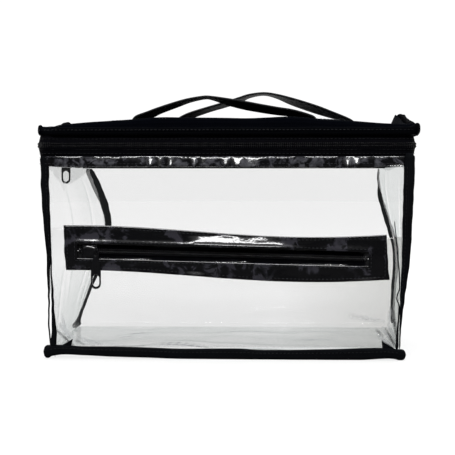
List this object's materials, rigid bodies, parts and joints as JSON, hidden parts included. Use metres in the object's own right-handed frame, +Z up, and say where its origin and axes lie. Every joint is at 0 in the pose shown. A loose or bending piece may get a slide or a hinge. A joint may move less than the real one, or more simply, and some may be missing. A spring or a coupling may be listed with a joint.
{
  "type": "makeup train case",
  "caption": "Clear vinyl makeup train case with black bound seams, a hinged padded lid, a three-sided zip, a zipped front pocket and webbing handles.",
  "frame": {"origin": "on the floor below the middle of the overall box", "axes": "+X to the right along the width, -Y the front with the pocket, +Z up"},
  "size_m": [0.295, 0.157, 0.2093],
  "materials": {
    "clear_vinyl": "glossy clear PVC sheet, lightly creased",
    "patent_vinyl": "glossy black patent vinyl with dark grey patches",
    "binding_tape": "black grosgrain binding tape",
    "lid_cloth": "black padded woven cloth",
    "webbing": "black polyester webbing",
    "zip_tape": "black woven zip tape",
    "zip_coil": "black nylon coil",
    "black_metal": "black lacquered zinc"
  },
  "bodies": {
    "case": {"bottom_panel": "clear_vinyl", "bottom_seam": "clear_vinyl", "front_panel": "clear_vinyl", "back_panel": "clear_vinyl", "left_panel": "clear_vinyl", "right_panel": "clear_vinyl", "pocket_backing": "clear_vinyl", "rim_strip": "patent_vinyl", "pocket_facing": "patent_vinyl", "bottom_binding": "binding_tape", "front_left_binding": "binding_tape", "front_right_binding": "binding_tape", "back_left_binding": "binding_tape", "back_right_binding": "binding_tape", "left_zip_end_tab": "binding_tape", "right_zip_end_tab": "binding_tape", "hinge_gusset": "lid_cloth", "lower_zip_tape": "zip_tape", "lower_zip_coil": "zip_coil", "pocket_upper_tape": "zip_tape", "pocket_lower_tape": "zip_tape", "pocket_upper_coil": "zip_coil", "pocket_lower_coil": "zip_coil", "pocket_zip_left_stop": "black_metal", "pocket_zip_right_stop": "black_metal"},
    "lid": {"lid_panel": "lid_cloth", "lid_binding": "binding_tape", "upper_zip_tape": "zip_tape", "upper_zip_coil": "zip_coil", "front_handle_left_foot": "webbing", "front_handle_right_foot": "webbing", "back_handle_left_foot": "webbing", "back_handle_right_foot": "webbing"},
    "front_handle": {"front_handle": "webbing"},
    "back_handle": {"back_handle": "webbing"},
    "main_slider": {"main_slider": "black_metal"},
    "main_pull": {"main_pull": "black_metal"},
    "pocket_slider": {"pocket_slider": "black_metal"},
    "pocket_pull": {"pocket_pull": "black_metal"}
  },
  "joints": [
    {"name": "lid_hinge", "type": "hinge", "parent": "case", "child": "lid", "pos_m": [0, 0.07745, 0.1692], "axis": [-1, 0, 0], "range_deg": [0, 180]},
    {"name": "front_handle_fold", "type": "hinge", "parent": "lid", "child": "front_handle", "pos_m": [0, -0.04005, 0.185], "axis": [1, 0, 0], "range_deg": [0, 80]},
    {"name": "back_handle_fold", "type": "hinge", "parent": "lid", "child": "back_handle", "pos_m": [0, 0.04195, 0.185], "axis": [-1, 0, 0], "range_deg": [0, 80]},
    {"name": "main_slider_travel", "type": "slide", "parent": "case", "child": "main_slider", "axis": [-0.0456, -0.999, 0], "range_m": [0, 0.085]},
    {"name": "main_pull_swing", "type": "hinge", "parent": "main_slider", "child": "main_pull", "pos_m": [-0.14071, 0.02723, 0.162], "axis": [0.0456, 0.999, 0], "range_deg": [0, 80]},
    {"name": "pocket_slider_travel", "type": "slide", "parent": "case", "child": "pocket_slider", "axis": [0.9997, 0, -0.026], "range_m": [0, 0.2]},
    {"name": "pocket_pull_swing", "type": "hinge", "parent": "pocket_slider", "child": "pocket_pull", "pos_m": [-0.0994, -0.07655, 0.08281], "axis": [-1, 0, 0], "range_deg": [0, 90]}
  ]
}
